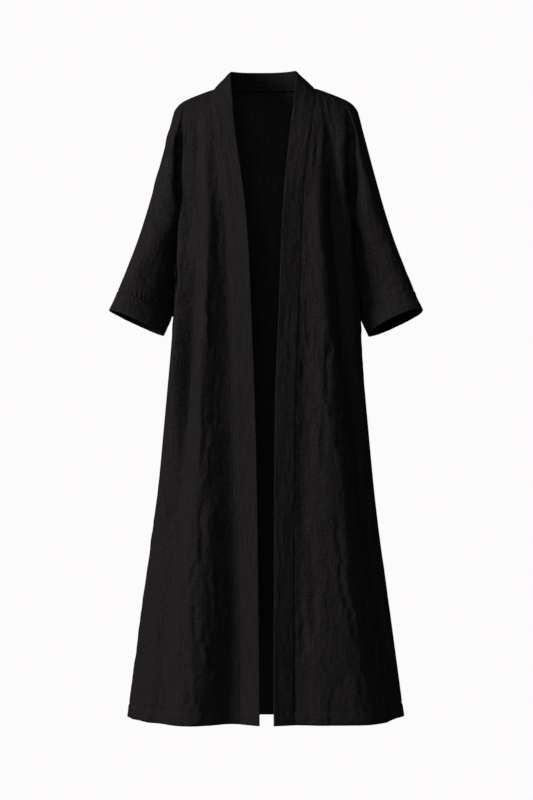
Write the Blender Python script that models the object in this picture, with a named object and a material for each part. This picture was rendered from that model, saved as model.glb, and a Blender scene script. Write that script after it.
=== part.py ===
"""Long open-front kimono jacket in black linen, filled out as if worn, with no wearer.

Metres, +Z up. The front faces -Y and the wearer's left is +X.
The origin lies midway between the neck ends of the two shoulder seams.
Each piece of cloth is one closed wall whose outer side lies on the formed garment.
A level counts down the cloth: 0 at the shoulder seam, 1 at the underarm, 2 at the hem or cuff seam.
A turn counts round the body: 0 at the centre front, 1 at the side seam, 2 at the centre back.
"""

import math
from collections import namedtuple
from functools import lru_cache

import bmesh
import bpy
import numpy as np
from mathutils import Vector

# Sides and faces as signs along X and Y
LEFT = 1
RIGHT = -1
FRONT = -1
BACK = 1

# Edges sharper than this stay sharp in the shading
SHARP_ANGLE = math.radians(55)

# Cloth thickness and the gaps at seams
CLOTH_WALL = 0.0015
DOUBLED_WALL = 0.0026
SEAM_GAP = 0.0003
WELD = 0.00002
MITRE_LIMIT = 1.6

# Lengths down the garment from the origin
UNDERARM_DROP = 0.270
HEM_DROP_FRONT = 1.339
HEM_DROP_SIDE = 1.331
HEM_DROP_BACK = 1.344

# Plan shape of the body rings: 1 is an ellipse, less is squarer
BODY_ROUNDNESS = 0.83
SLEEVE_ROUNDNESS = 0.78
SHOULDER_RING = 0.168
UNDERARM_REACH = 0.184

# The deep crease between body and sleeve opens below this level
CREASE_LEVEL = 0.16
CREASE_GROWTH = 1.15

# At the underarm point the wall steps up, leaning a little towards the body
UNDERARM_LEAN = 0.08

# Neck and band
NECK_REACH = 0.108
NECK_SHIFT = -0.004
NECK_BACK_DEPTH = 0.079
NECK_BACK_RISE = 0.003
BAND_SPAN = 0.0455
COLLAR_RISE = 0.0385
COLLAR_BACK_DEPTH = 0.047
COLLAR_LEVEL = 0.75

# The back's columns below the neckline take this share of its half width from the underarm down
NECK_COLUMNS_SHARE = 0.34

# Folds fade in over this length below their top
FOLD_FADE = 0.10

# Rows and columns of the cloth grids
UPPER_ROWS = 9
LOWER_ROWS = 24
SLEEVE_ROWS = 9
SHOULDER_COLUMNS = 12
NECK_COLUMNS = 5
SLEEVE_COLUMNS = 8
BAND_COLUMNS = 3
CUFF_ROWS = 3
SIDE_COLUMN = -1
FINE_STEPS = 60

BodyRing = namedtuple("BodyRing", "drop half_width front_depth back_depth")
BODY = (
    BodyRing(0.270, 0.1840, 0.118, 0.112),
    BodyRing(0.400, 0.1910, 0.122, 0.108),
    BodyRing(0.540, 0.2010, 0.128, 0.112),
    BodyRing(0.670, 0.2125, 0.133, 0.118),
    BodyRing(0.900, 0.2345, 0.142, 0.129),
    BodyRing(1.150, 0.2680, 0.151, 0.143),
    BodyRing(1.345, 0.2940, 0.158, 0.153),
)

# Shoulder seam and overarm seam as one line, seen from the front
SeamPoint = namedtuple("SeamPoint", "reach drop")
TOP_SEAM = (
    SeamPoint(0.1000, -0.0020),
    SeamPoint(0.1080, 0.0000),
    SeamPoint(0.1275, 0.0065),
    SeamPoint(0.1595, 0.0190),
    SeamPoint(0.1735, 0.0257),
    SeamPoint(0.1830, 0.0320),
    SeamPoint(0.1900, 0.0400),
    SeamPoint(0.1955, 0.0490),
    SeamPoint(0.2045, 0.0830),
    SeamPoint(0.2225, 0.1510),
    SeamPoint(0.2455, 0.2350),
    SeamPoint(0.2720, 0.3210),
    SeamPoint(0.2975, 0.3890),
    SeamPoint(0.3130, 0.4295),
    SeamPoint(0.3320, 0.4720),
)

# Front opening: half its width, and how far its middle stands to the wearer's left
OpeningPoint = namedtuple("OpeningPoint", "drop half_gap middle")
OPENING = (
    OpeningPoint(-0.037, 0.0705, -0.0055),
    OpeningPoint(0.051, 0.0620, -0.0065),
    OpeningPoint(0.111, 0.0557, -0.0070),
    OpeningPoint(0.164, 0.0483, -0.0058),
    OpeningPoint(0.285, 0.0370, -0.0037),
    OpeningPoint(0.457, 0.0295, -0.0026),
    OpeningPoint(0.661, 0.0215, -0.0026),
    OpeningPoint(0.874, 0.0178, -0.0010),
    OpeningPoint(1.340, 0.0146, 0.0010),
)

# Sleeve rings. The inner point lies in the underarm seam and the outer point in the overarm seam.
# Down to the underarm the inner point lies in the body's deep crease, so its columns only guide the curve there.
# Below, it tucks back behind the body's side, and the cloth beside it spreads away from the body.
# The front of a ring is lifted and its back dropped
SleeveRing = namedtuple(
    "SleeveRing",
    "level inner_reach inner_drop tuck spread outer_drop forward front_bulge back_bulge front_lift back_drop",
)
SLEEVE = (
    SleeveRing(0.00, 0.1680, 0.022, 0.000, 0.000, 0.0490, 0.000, 0.000, 0.000, 0.000, 0.000),
    SleeveRing(0.25, 0.1760, 0.042, 0.000, 0.000, 0.0750, 0.000, 0.014, 0.014, 0.000, 0.000),
    SleeveRing(0.50, 0.1800, 0.095, 0.000, 0.005, 0.1200, 0.000, 0.031, 0.031, 0.000, 0.000),
    SleeveRing(0.75, 0.1830, 0.174, 0.000, 0.010, 0.1750, 0.000, 0.052, 0.052, 0.000, 0.000),
    SleeveRing(1.00, 0.1840, 0.270, 0.000, 0.012, 0.2350, 0.000, 0.072, 0.070, 0.000, 0.000),
    SleeveRing(1.11, 0.1900, 0.290, 0.000, 0.010, 0.2570, 0.000, 0.074, 0.068, 0.001, 0.001),
    SleeveRing(1.25, 0.1890, 0.325, 0.034, 0.006, 0.2850, 0.003, 0.080, 0.054, 0.002, 0.001),
    SleeveRing(1.50, 0.1905, 0.380, 0.042, 0.004, 0.3330, 0.009, 0.077, 0.048, 0.005, 0.002),
    SleeveRing(1.75, 0.1935, 0.435, 0.040, 0.004, 0.3810, 0.018, 0.069, 0.044, 0.009, 0.004),
    SleeveRing(2.00, 0.1990, 0.484, 0.022, 0.003, 0.4295, 0.028, 0.059, 0.041, 0.012, 0.005),
    SleeveRing(2.40, 0.2160, 0.525, -0.014, 0.000, 0.4720, 0.040, 0.050, 0.043, 0.015, 0.008),
)
CUFF_EDGE_LEVEL = 2.40
RIGHT_LIFT_SHARE = 0.45

# Soft folds of the body. A positive rise is a ridge, a negative one a valley
Fold = namedtuple("Fold", "side top foot turn_top turn_foot width_top width_foot rise_top rise_foot")
FOLDS = (
    Fold(RIGHT, 0.08, 1.34, 0.37, 0.11, 0.12, 0.13, -0.008, -0.026),
    Fold(RIGHT, 0.10, 1.34, 0.50, 0.34, 0.12, 0.15, 0.005, 0.016),
    Fold(RIGHT, 0.03, 1.00, 0.70, 0.66, 0.08, 0.10, -0.008, -0.004),
    Fold(RIGHT, 0.60, 1.34, 0.72, 0.74, 0.10, 0.13, -0.002, -0.013),
    Fold(RIGHT, 0.13, 0.56, 0.86, 0.88, 0.12, 0.12, 0.004, 0.006),
    Fold(LEFT, 0.16, 1.34, 0.27, 0.11, 0.10, 0.12, -0.006, -0.021),
    Fold(LEFT, 0.14, 1.34, 0.33, 0.45, 0.12, 0.16, 0.006, 0.015),
    Fold(LEFT, 0.04, 1.34, 0.49, 0.78, 0.11, 0.13, -0.011, -0.016),
    Fold(LEFT, 0.04, 0.60, 0.69, 0.74, 0.09, 0.09, 0.004, 0.003),
    Fold(LEFT, 0.13, 0.56, 0.86, 0.88, 0.12, 0.12, 0.004, 0.006),
    Fold(RIGHT, 0.20, 1.34, 1.20, 1.17, 0.10, 0.14, -0.004, -0.015),
    Fold(RIGHT, 0.25, 1.34, 1.42, 1.41, 0.12, 0.15, 0.003, 0.015),
    Fold(RIGHT, 0.15, 1.34, 1.66, 1.68, 0.12, 0.14, -0.004, -0.018),
    Fold(RIGHT, 0.35, 1.34, 1.88, 1.88, 0.10, 0.12, 0.002, 0.010),
    Fold(LEFT, 0.22, 1.34, 1.24, 1.22, 0.10, 0.14, -0.005, -0.017),
    Fold(LEFT, 0.30, 1.34, 1.47, 1.46, 0.12, 0.15, 0.003, 0.013),
    Fold(LEFT, 0.18, 1.34, 1.70, 1.72, 0.12, 0.13, -0.005, -0.016),
    Fold(LEFT, 0.40, 1.34, 1.90, 1.90, 0.09, 0.10, 0.002, 0.008),
)

# Soft folds of the sleeves. Their turn is 0 at the underarm, 1 at the overarm seam and 2 back at the underarm
SleeveFold = namedtuple("SleeveFold", "side top foot turn_top turn_foot width rise")
SLEEVE_FOLDS = (
    SleeveFold(RIGHT, 0.95, 2.05, 0.46, 0.34, 0.17, -0.005),
    SleeveFold(RIGHT, 1.20, 2.10, 0.72, 0.66, 0.15, 0.003),
    SleeveFold(RIGHT, 1.00, 2.05, 1.45, 1.62, 0.18, -0.006),
    SleeveFold(LEFT, 0.90, 2.05, 0.52, 0.40, 0.17, -0.006),
    SleeveFold(LEFT, 1.25, 2.10, 0.76, 0.70, 0.15, 0.003),
    SleeveFold(LEFT, 1.05, 2.05, 1.40, 1.58, 0.18, -0.005),
)


def along(table, column, at, key=0):
    """Smooth curve through one column of a table, read at a value of its key column."""
    keys = [row[key] for row in table]
    values = [getattr(row, column) for row in table]
    last = len(keys) - 1
    at = min(max(at, keys[0]), keys[last])
    low = max(index for index in range(last) if keys[index] <= at)
    high = low + 1
    span = keys[high] - keys[low]
    before = max(low - 1, 0)
    after = min(high + 1, last)
    start_slope = (values[high] - values[before]) / (keys[high] - keys[before])
    end_slope = (values[after] - values[low]) / (keys[after] - keys[low])
    share = (at - keys[low]) / span
    rest = 1.0 - share
    ends = values[low] * rest * rest * (1.0 + 2.0 * share) + values[high] * share * share * (3.0 - 2.0 * share)
    return ends + span * share * rest * (start_slope * rest - end_slope * share)


def blend(start, end, share):
    """Value a share of the way from start to end."""
    return start + (end - start) * share


def ease(share):
    """Share from 0 to 1 with soft ends."""
    share = min(max(share, 0.0), 1.0)
    return share * share * (3.0 - 2.0 * share)


def swell(offset, half_width):
    """Rounded profile of a fold: 1 on its line, 0 from its half width on."""
    if abs(offset) >= half_width:
        return 0.0
    return 0.5 + 0.5 * math.cos(math.pi * offset / half_width)


def run_over_shoulder(level):
    """Shares of the way out and of the way down that the cloth has gone by a level above the underarm."""
    angle = 0.5 * math.pi * min(level, 1.0)
    return math.sin(angle), 1.0 - math.cos(angle)


Ring = namedtuple("Ring", "half_width depth side_depth")


def body_ring(face, level):
    """Plan sizes of the body on one face at a level."""
    column = "front_depth" if face == FRONT else "back_depth"
    if level >= 1.0:
        drop = blend(UNDERARM_DROP, HEM_DROP_FRONT, level - 1.0)
        return Ring(along(BODY, "half_width", drop), along(BODY, column, drop), 0.0)
    out, _ = run_over_shoulder(level)
    depth = along(BODY, column, UNDERARM_DROP) * out
    crease = max(level - CREASE_LEVEL, 0.0) / (1.0 - CREASE_LEVEL)
    half_width = blend(SHOULDER_RING, UNDERARM_REACH, out)
    return Ring(half_width, depth, depth * (1.0 - crease ** CREASE_GROWTH))


def ring_place(ring, turn):
    """Plan reach and depth on a quarter ring, from the centre line at turn 0 to the side at turn 1."""
    angle = 0.5 * math.pi * min(max(turn, 0.0), 1.0)
    reach = ring.half_width * math.sin(angle) ** BODY_ROUNDNESS
    depth = blend(ring.side_depth, ring.depth, max(math.cos(angle), 0.0) ** BODY_ROUNDNESS)
    return reach, depth


def ring_outward(ring, turn):
    """Plan direction square to a quarter ring, pointing out of the body."""
    step = 0.01
    reach_before, depth_before = ring_place(ring, turn - step)
    reach_after, depth_after = ring_place(ring, turn + step)
    along_reach = reach_after - reach_before
    along_depth = depth_after - depth_before
    length = math.hypot(along_reach, along_depth)
    return -along_depth / length, along_reach / length


def turn_at_reach(ring, reach):
    """Turn at which a quarter ring has a given reach."""
    share = min(reach / ring.half_width, 1.0)
    return math.asin(share ** (1.0 / BODY_ROUNDNESS)) / (0.5 * math.pi)


def opening_edge(side, drop):
    """Distance of the band's free edge from the centre line."""
    return along(OPENING, "half_gap", drop) + side * along(OPENING, "middle", drop)


def neck_reach(side):
    """Distance of the shoulder seam's neck end from the centre line."""
    return NECK_REACH + side * NECK_SHIFT


def band_seam_reach(side, level):
    """Distance of the band seam from the centre line."""
    if level >= 1.0:
        return opening_edge(side, blend(UNDERARM_DROP, HEM_DROP_FRONT, level - 1.0)) + BAND_SPAN
    _, down = run_over_shoulder(level)
    seam_at_underarm = opening_edge(side, UNDERARM_DROP) + BAND_SPAN
    seam = opening_edge(side, UNDERARM_DROP * down) + BAND_SPAN
    return blend(blend(neck_reach(side), seam, ease(3.0 * level)), seam_at_underarm, ease(2.0 * level - 1.0))


def even_steps(place, first, last, count):
    """Values from first to last between which a curve runs equal lengths."""
    fine = np.linspace(first, last, FINE_STEPS + 1)
    points = np.array([place(value) for value in fine])
    run = np.concatenate(([0.0], np.cumsum(np.linalg.norm(np.diff(points, axis=0), axis=1))))
    return [float(value) for value in np.interp(np.linspace(0.0, run[-1], count + 1), run, fine)]


@lru_cache(maxsize=None)
def column_turns(side, face, level):
    """Turns of the grid columns at a level, from the band seam or the centre back out to the side."""
    ring = body_ring(face, level)

    def place(turn):
        return ring_place(ring, turn)

    if face == FRONT:
        return even_steps(place, turn_at_reach(ring, band_seam_reach(side, level)), 1.0, SHOULDER_COLUMNS)
    neck_share = blend(neck_reach(side) / SHOULDER_RING, NECK_COLUMNS_SHARE, ease(level))
    split = turn_at_reach(ring, neck_share * ring.half_width)
    below_neck = even_steps(place, 0.0, split, NECK_COLUMNS)
    return below_neck[:-1] + even_steps(place, split, 1.0, SHOULDER_COLUMNS)


def top_place(side, face, column):
    """Depth and height where a column starts, at the shoulder seam or the back neckline."""
    reach, _ = ring_place(body_ring(face, 0.0), column_turns(side, face, 0.0)[column])
    neck = neck_reach(side)
    if reach >= neck - WELD:
        return 0.0, -along(TOP_SEAM, "drop", reach)
    inside = 1.0 - (reach / neck) ** 2
    return NECK_BACK_DEPTH * math.sqrt(inside), NECK_BACK_RISE * inside - along(TOP_SEAM, "drop", neck)


def hem_drop(face, turn):
    """Length of the cloth down to the hem, which lifts a little at the side."""
    centre = HEM_DROP_FRONT if face == FRONT else HEM_DROP_BACK
    return blend(centre, HEM_DROP_SIDE, ease((turn - 0.5) / 0.5))


def fold_rise(side, turn, drop):
    """Height of all soft folds at a place on the body."""
    total = 0.0
    for fold in FOLDS:
        if fold.side != side or drop <= fold.top:
            continue
        share = min((drop - fold.top) / (fold.foot - fold.top), 1.0)
        offset = turn - blend(fold.turn_top, fold.turn_foot, share)
        half_width = blend(fold.width_top, fold.width_foot, share)
        fade = ease((drop - fold.top) / FOLD_FADE)
        if fold.foot < HEM_DROP_SIDE:
            fade *= ease((fold.foot - drop) / FOLD_FADE)
        total += blend(fold.rise_top, fold.rise_foot, share) * fade * swell(offset, half_width)
    return total


def body_point(side, face, column, level):
    """Outer cloth of the body at a grid column and a level."""
    ring = body_ring(face, level)
    turn = column_turns(side, face, level)[column]
    reach, depth = ring_place(ring, turn)
    if level < 1.0:
        top_depth, top_height = top_place(side, face, column)
        out, down = run_over_shoulder(level)
        depth += top_depth * (1.0 - out)
        height = blend(top_height, -UNDERARM_DROP, down)
    else:
        height = -blend(UNDERARM_DROP, hem_drop(face, turn), level - 1.0)
    turn_round = turn if face == FRONT else 2.0 - turn
    rise = fold_rise(side, turn_round, -height)
    out_reach, out_depth = ring_outward(ring, turn)
    return Vector((side * (reach + out_reach * rise), face * (depth + out_depth * rise), height))


def sleeve_ends(side, face, level):
    """Inner and outer ends of a sleeve ring's half on one face."""
    drop = along(SLEEVE, "outer_drop", level)
    forward = along(SLEEVE, "forward", level)
    outer = Vector((side * along(TOP_SEAM, "reach", drop, key=1), -forward, -drop))
    if level <= 1.0:
        return body_point(side, face, SIDE_COLUMN, level), outer
    inner_reach = along(SLEEVE, "inner_reach", level)
    inner_drop = along(SLEEVE, "inner_drop", level)
    return Vector((side * inner_reach, along(SLEEVE, "tuck", level), -inner_drop)), outer


def shoulder_round(side, share, level):
    """Height that the rounded shoulder adds above the straight line across a sleeve ring."""
    if level >= 1.0:
        return 0.0
    inner, outer = sleeve_ends(side, FRONT, 0.0)
    straight = inner.lerp(outer, share)
    out, _ = run_over_shoulder(level)
    return (-along(TOP_SEAM, "drop", abs(straight.x)) - straight.z) * (1.0 - out)


def sleeve_fold_rise(side, turn, level):
    """Height of all soft folds at a place on a sleeve."""
    total = 0.0
    for fold in SLEEVE_FOLDS:
        if fold.side != side or not fold.top < level < fold.foot:
            continue
        share = (level - fold.top) / (fold.foot - fold.top)
        fade = ease(4.0 * share) * ease(4.0 * (1.0 - share))
        total += fold.rise * fade * swell(turn - blend(fold.turn_top, fold.turn_foot, share), fold.width)
    return total


def sleeve_point(side, face, turn, level):
    """Outer cloth of a sleeve at a turn from the underarm (0) to the overarm seam (1) and a level."""
    inner, outer = sleeve_ends(side, face, level)
    angle = math.pi * turn
    share = 0.5 - 0.5 * math.cos(angle)
    point = inner.lerp(outer, share)
    point.z += shoulder_round(side, share, level)
    bulge = along(SLEEVE, "front_bulge" if face == FRONT else "back_bulge", level)
    lift = along(SLEEVE, "front_lift", level) if face == FRONT else -along(SLEEVE, "back_drop", level)
    if side == RIGHT:
        lift *= RIGHT_LIFT_SHARE
    roundness = max(math.sin(angle), 0.0) ** SLEEVE_ROUNDNESS
    spread = side * along(SLEEVE, "spread", level) * (1.0 - share)
    point += Vector((spread, face * bulge, lift)) * roundness
    turn_round = turn if face == FRONT else 2.0 - turn
    rise = sleeve_fold_rise(side, turn_round, level)
    outward = point - 0.5 * (inner + outer)
    return point + outward.normalized() * rise


def shares(count):
    """Even shares from 0 to 1."""
    return [index / count for index in range(count + 1)]


def body_levels():
    """Levels of the body's rows from the shoulder seam to the hem."""
    return shares(UPPER_ROWS) + [1.0 + share for share in shares(LOWER_ROWS)[1:]]


def sleeve_levels():
    """Levels of the sleeve's rows from the shoulder to the cuff seam."""
    return shares(UPPER_ROWS) + [1.0 + share for share in shares(SLEEVE_ROWS)[1:]]


def body_row(side, face, level):
    """Points of one row of a front or a back."""
    return [body_point(side, face, column, level) for column in range(len(column_turns(side, face, level)))]


def sleeve_row(side, face, level):
    """Points of one row of a half sleeve, from the underarm to the overarm seam."""

    def place(turn):
        return sleeve_point(side, face, turn, level)

    return [place(turn) for turn in even_steps(place, 0.0, 1.0, SLEEVE_COLUMNS)]


def panel_grids(side, face):
    """Point rows of one front or back: its body, then its half of the sleeve."""
    body = [body_row(side, face, level) for level in body_levels()]
    sleeve = [sleeve_row(side, face, level) for level in sleeve_levels()]
    return [body, sleeve]


def band_edge_point(side, level):
    """Free edge of the band beside a front row."""
    seam = body_point(side, FRONT, 0, level)
    height = seam.z + COLLAR_RISE * (1.0 - ease(level / COLLAR_LEVEL))
    reach = opening_edge(side, -height)
    ring = body_ring(FRONT, level)
    _, depth = ring_place(ring, turn_at_reach(ring, reach))
    return Vector((side * reach, FRONT * depth, height))


def collar_edge_point(side, seam):
    """Free edge of the band behind the neck, beside a point of the back neckline."""
    first = band_edge_point(side, 0.0)
    forward = min(abs(seam.x) / neck_reach(side), 1.0)
    backward = math.sqrt(1.0 - forward ** 2)
    return Vector((first.x * forward, COLLAR_BACK_DEPTH * backward, first.z))


def band_grid(side):
    """Point rows of one band half, from the centre back over the shoulder to the hem."""
    neckline = body_row(side, BACK, 0.0)[:NECK_COLUMNS]
    pairs = [(seam, collar_edge_point(side, seam)) for seam in neckline]
    for level in body_levels():
        pairs.append((body_point(side, FRONT, 0, level), band_edge_point(side, level)))
    return [[[seam.lerp(edge, share) for share in shares(BAND_COLUMNS)] for seam, edge in pairs]]


def cuff_grid(side):
    """Point rows of one cuff, round from the underarm over the front and back again."""
    rows = []
    for share in shares(CUFF_ROWS):
        level = blend(2.0, CUFF_EDGE_LEVEL, share)
        rows.append(sleeve_row(side, FRONT, level) + sleeve_row(side, BACK, level)[-2::-1])
    return [rows]


def new_shell(grids, turned):
    """Open mesh through the point rows, welded where two grids share points."""
    mesh = bmesh.new()
    for rows in grids:
        verts = [[mesh.verts.new(point) for point in row] for row in rows]
        for upper, lower in zip(verts, verts[1:]):
            for index in range(len(upper) - 1):
                corners = [upper[index], lower[index], lower[index + 1], upper[index + 1]]
                mesh.faces.new(corners[::-1] if turned else corners)
    bmesh.ops.remove_doubles(mesh, verts=mesh.verts[:], dist=WELD)
    mesh.normal_update()
    return mesh


def place_key(point):
    """Key that is the same for points which two pieces share."""
    return tuple(round(value / WELD) for value in point)


def crease_keys():
    """Places along the deep creases between body and sleeve, where the wall steps neither left nor right."""
    levels = [level for level in shares(UPPER_ROWS) if level > 2.0 * CREASE_LEVEL]
    points = [body_point(side, face, SIDE_COLUMN, level)
              for side in (LEFT, RIGHT) for face in (FRONT, BACK) for level in levels]
    return {place_key(point) for point in points}


def sewn_steps(shells):
    """Step into the garment for a wall of unit thickness at each place, over all pieces that meet there.

    It is a little longer in sharp creases, so that the wall keeps its thickness there.
    """
    crease = crease_keys()
    underarms = {place_key((side * UNDERARM_REACH, 0.0, -UNDERARM_DROP)): side for side in (LEFT, RIGHT)}
    meeting = {}
    for mesh in shells.values():
        for face in mesh.faces:
            for vert in face.verts:
                meeting.setdefault(place_key(vert.co), []).append(face.normal.copy())
    steps = {}
    for key, leans in meeting.items():
        normal = sum(leans, Vector())
        if key in crease:
            normal.x = 0.0
        if key in underarms:
            normal = Vector((underarms[key] * UNDERARM_LEAN, 0.0, -1.0))
        normal.normalize()
        facing = sum(lean.dot(normal) for lean in leans) / len(leans)
        steps[key] = -normal / max(facing, 1.0 / MITRE_LIMIT)
    return steps


def edge_step(vert):
    """Step from a point on a piece's edge into the piece, so long that the edge moves by one unit."""
    first, second = [edge.other_vert(vert).co - vert.co for edge in vert.link_edges if edge.is_boundary]
    edge_line = (second.normalized() - first.normalized()).normalized()
    inward = sum((face.calc_center_median() - vert.co for face in vert.link_faces), Vector())
    inward = (inward - edge_line * inward.dot(edge_line)).normalized()
    return inward / max(math.sin(0.5 * first.angle(second)), 0.5)


def draw_in_edges(mesh):
    """Move the edge of a piece in by half the seam gap."""
    moves = [(vert, edge_step(vert) * 0.5 * SEAM_GAP) for vert in mesh.verts if vert.is_boundary]
    for vert, step in moves:
        vert.co += step


def close_wall(mesh, steps):
    """Turn an open mesh into a closed wall."""
    mesh.verts.ensure_lookup_table()
    inner_place = {place_key(vert.co): vert.co + step for vert, step in zip(mesh.verts, steps)}
    grown = bmesh.ops.extrude_face_region(mesh, geom=mesh.faces[:], use_keep_orig=True)
    for item in grown["geom"]:
        if isinstance(item, bmesh.types.BMVert):
            item.co = inner_place[place_key(item.co)]
    bmesh.ops.recalc_face_normals(mesh, faces=mesh.faces[:])


def linen(name):
    """Plain black cloth material of one piece."""
    material = bpy.data.materials.new(name)
    material.use_nodes = True
    shader = material.node_tree.nodes["Principled BSDF"]
    shader.inputs["Base Color"].default_value = (0.02, 0.018, 0.019, 1.0)
    shader.inputs["Roughness"].default_value = 0.9
    return material


def add_piece(name, mesh):
    """Put a finished wall into the scene as one named object."""
    data = bpy.data.meshes.new(name)
    mesh.to_mesh(data)
    mesh.free()
    data.shade_smooth()
    data.set_sharp_from_angle(angle=SHARP_ANGLE)
    data.materials.append(linen(name + "_linen"))
    bpy.context.scene.collection.objects.link(bpy.data.objects.new(name, data))


def main():
    """Build every piece of the jacket."""
    for old in list(bpy.data.objects):
        bpy.data.objects.remove(old)
    shells = {}
    walls = {}
    for side, word in ((LEFT, "left"), (RIGHT, "right")):
        pieces = (
            ("front_", panel_grids(side, FRONT), side * FRONT > 0, CLOTH_WALL),
            ("back_", panel_grids(side, BACK), side * BACK > 0, CLOTH_WALL),
            ("band_", band_grid(side), side > 0, DOUBLED_WALL),
            ("cuff_", cuff_grid(side), side < 0, DOUBLED_WALL),
        )
        for kind, grids, turned, wall in pieces:
            shells[kind + word] = new_shell(grids, turned)
            walls[kind + word] = wall
    unit_steps = sewn_steps(shells)
    for name, mesh in shells.items():
        steps = [unit_steps[place_key(vert.co)] * walls[name] for vert in mesh.verts]
        draw_in_edges(mesh)
        close_wall(mesh, steps)
        add_piece(name, mesh)


main()
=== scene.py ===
"""Long open-front kimono jacket in crinkled black linen, with a plain studio round it.

Metres, +Z up. The front faces -Y and the wearer's left is +X, as in the frame.
Each piece of cloth is a thin sheet on the outer side of its solid, with creases, puckers and stitches.
"""

import math
from collections import namedtuple

import bmesh
import bpy
import numpy as np
from bpy.props import FloatProperty, FloatVectorProperty, IntProperty, PointerProperty
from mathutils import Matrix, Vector
from mathutils.kdtree import KDTree


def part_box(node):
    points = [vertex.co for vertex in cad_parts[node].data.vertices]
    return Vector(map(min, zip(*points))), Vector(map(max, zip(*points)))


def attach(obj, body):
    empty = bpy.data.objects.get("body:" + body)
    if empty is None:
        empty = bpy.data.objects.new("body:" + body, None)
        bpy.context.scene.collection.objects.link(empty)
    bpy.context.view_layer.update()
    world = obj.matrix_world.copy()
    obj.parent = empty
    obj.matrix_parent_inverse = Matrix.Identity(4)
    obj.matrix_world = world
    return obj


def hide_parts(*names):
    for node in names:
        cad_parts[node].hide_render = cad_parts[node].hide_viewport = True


bl_info = {
    "name": "Linen Kimono Jacket",
    "version": (1, 0, 0),
    "blender": (4, 5, 0),
    "location": "View3D > Sidebar > Jacket",
    "description": "Dresses the jacket's frame in crinkled black linen and sets a plain studio round it",
    "category": "Object",
}

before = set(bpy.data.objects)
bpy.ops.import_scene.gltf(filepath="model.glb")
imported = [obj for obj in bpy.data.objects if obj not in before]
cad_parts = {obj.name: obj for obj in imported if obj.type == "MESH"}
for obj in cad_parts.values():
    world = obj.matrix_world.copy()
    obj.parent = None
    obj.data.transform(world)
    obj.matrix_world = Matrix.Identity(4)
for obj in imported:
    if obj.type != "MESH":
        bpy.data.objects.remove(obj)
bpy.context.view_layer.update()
BODY_NAME = "root"

# Walls of the solids, and how the outer side of a wall is told from its rim
PANEL_WALL = 0.0015
DOUBLED_WALL = 0.0026
RIM_SHARE = 1.75
WELD = 0.00002
SEAM_LAP = 0.00028
FULL_TURN = 2.0 * math.pi
MILLIMETRES = 1000.0
NOISE_CELLS = 97
FAR_AWAY = 1.0

# How firmly pinned points of a flat map are held, and the least say of an edge on level cloth
PIN_WEIGHT = 1000.0
LEAST_WEIGHT = 0.05

# Where the seams of a panel run
HEM_BELOW = -1.27
HEM_FALL = -0.6
BAND_SEAM_REACH = 0.116
NECK_SEAM_REACH = 0.112
NECK_SEAM_ABOVE = -0.015
CUFF_SEAM_INNER = (0.199, -0.484)
CUFF_SEAM_OUTER = (0.313, -0.4295)
CUFF_SEAM_SPAN = 0.024
CUFF_SEAM_SLACK = 0.01

# Flat sizes of the cloth pieces, one thickness, without seam allowances
FlatCut = namedtuple("FlatCut", "width length area")
FLAT_CUTS = {
    "front": FlatCut(0.60, 1.38, 0.390),
    "back": FlatCut(0.615, 1.40, 0.450),
    "band": FlatCut(0.0465, 1.53, 0.070),
    "cuff": FlatCut(0.044, 0.40, 0.0175),
}

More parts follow.
